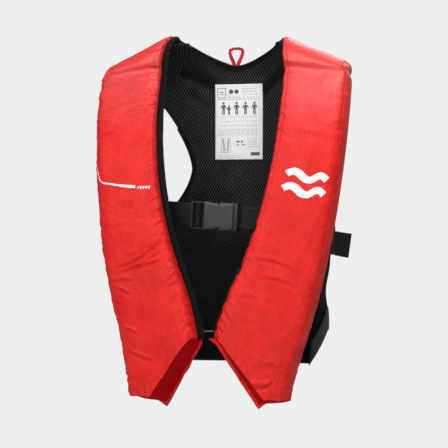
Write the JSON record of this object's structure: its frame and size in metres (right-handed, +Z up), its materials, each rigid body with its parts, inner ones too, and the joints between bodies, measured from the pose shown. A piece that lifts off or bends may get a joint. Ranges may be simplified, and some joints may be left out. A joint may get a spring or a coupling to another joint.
{
  "type": "life jacket",
  "caption": "Foam-filled life jacket: front lobes that swing open on a mesh back, with shoulder pads, side wings, a buckled waist belt, side adjusters and a hanging loop.",
  "frame": {"origin": "midway between the two shoulder crests, where the jacket hangs on the wearer's shoulders or a hanger", "axes": "+X to the viewer's right when facing the front, -Y out of the front, +Z up towards the neck"},
  "size_m": [0.409, 0.2579, 0.5764],
  "materials": {
    "mesh_black": "3-D spacer mesh, open cells",
    "binding_black": "woven bias tape",
    "wing_black": "smooth woven nylon over mesh",
    "rib_black": "ribbed elastic",
    "cord_grey": "braided cord",
    "label_white": null,
    "shell_red": "coated ripstop nylon, slight sheen",
    "foam": "closed-cell polyethylene foam sheet",
    "webbing_black": "woven polyester webbing",
    "buckle_grey": "moulded acetal, fine texture",
    "adjuster_black": "moulded acetal",
    "print_white": null,
    "ribbon_red": "woven ribbon"
  },
  "bodies": {
    "harness": {"back_panel": "mesh_black", "neck_binding": "binding_black", "armhole_binding_left": "binding_black", "armhole_binding_right": "binding_black", "side_wing_left": "wing_black", "side_wing_right": "wing_black", "hem_band": "rib_black", "hem_cord": "cord_grey", "label": "label_white", "shoulder_cover_left": "shell_red", "shoulder_cover_right": "shell_red", "shoulder_foam_left": "foam", "shoulder_foam_right": "foam", "lower_strap_left": "webbing_black", "lower_strap_right": "webbing_black", "belt_right": "webbing_black", "belt_side_left": "webbing_black", "buckle_socket": "buckle_grey", "side_adjuster_left": "adjuster_black", "side_adjuster_right": "adjuster_black"},
    "lobe_left": {"lobe_cover_left": "shell_red", "lobe_gusset_left": "shell_red", "lobe_liner_left": "mesh_black", "foam_front_left": "foam", "foam_middle_left": "foam", "foam_back_left": "foam", "stripe_left": "print_white"},
    "lobe_right": {"lobe_cover_right": "shell_red", "lobe_gusset_right": "shell_red", "lobe_liner_right": "mesh_black", "foam_front_right": "foam", "foam_middle_right": "foam", "foam_back_right": "foam", "emblem_right": "print_white"},
    "plug": {"buckle_plug": "buckle_grey", "belt_left": "webbing_black"},
    "latch_upper": {"latch_upper": "buckle_grey"},
    "latch_lower": {"latch_lower": "buckle_grey"},
    "keeper": {"belt_keeper": "adjuster_black"},
    "tail_left": {"tail_left": "webbing_black"},
    "tail_right": {"tail_right": "webbing_black"},
    "loop": {"hang_loop": "ribbon_red"}
  },
  "joints": [
    {"name": "lobe_right_swing", "type": "hinge", "parent": "harness", "child": "lobe_right", "pos_m": [0.175, -0.016, -0.068], "axis": [0.0777, 0.1776, 0.981], "range_deg": [0, 60]},
    {"name": "lobe_left_swing", "type": "hinge", "parent": "harness", "child": "lobe_left", "pos_m": [-0.175, -0.016, -0.068], "axis": [0.0777, -0.1776, -0.981], "range_deg": [0, 60]},
    {"name": "buckle_release", "type": "slide", "parent": "harness", "child": "plug", "axis": [-0.9981, 0, 0.061], "range_m": [0, 0.045], "deforming": ["latch_upper", "latch_lower"]},
    {"name": "latch_upper_squeeze", "type": "hinge", "parent": "plug", "child": "latch_upper", "pos_m": [-0.02123, -0.067, -0.27168], "axis": [0, 1, 0], "range_deg": [0, 9], "stiffness_Nm_per_rad": 0.05},
    {"name": "latch_lower_squeeze", "type": "hinge", "parent": "plug", "child": "latch_lower", "pos_m": [-0.02269, -0.067, -0.29563], "axis": [0, 1, 0], "range_deg": [-9, 0], "stiffness_Nm_per_rad": 0.05},
    {"name": "keeper_slide", "type": "slide", "parent": "harness", "child": "keeper", "axis": [0.9981, 0, -0.061], "range_m": [0, 0.02]},
    {"name": "tail_right_flap", "type": "hinge", "parent": "harness", "child": "tail_right", "pos_m": [0.17435, -0.022, -0.322], "axis": [0, 0, 1], "range_deg": [-60, 35], "stiffness_Nm_per_rad": 0.01},
    {"name": "tail_left_flap", "type": "hinge", "parent": "harness", "child": "tail_left", "pos_m": [-0.17435, -0.022, -0.322], "axis": [0, 0, -1], "range_deg": [-60, 35], "stiffness_Nm_per_rad": 0.01},
    {"name": "loop_tilt", "type": "hinge", "parent": "harness", "child": "loop", "pos_m": [0, 0.0582, -0.0398], "axis": [1, 0, 0], "range_deg": [-60, 60], "stiffness_Nm_per_rad": 0.01}
  ],
  "couplings": [
    {"joint": "latch_lower_squeeze", "follows": "latch_upper_squeeze", "ratio": -1}
  ]
}
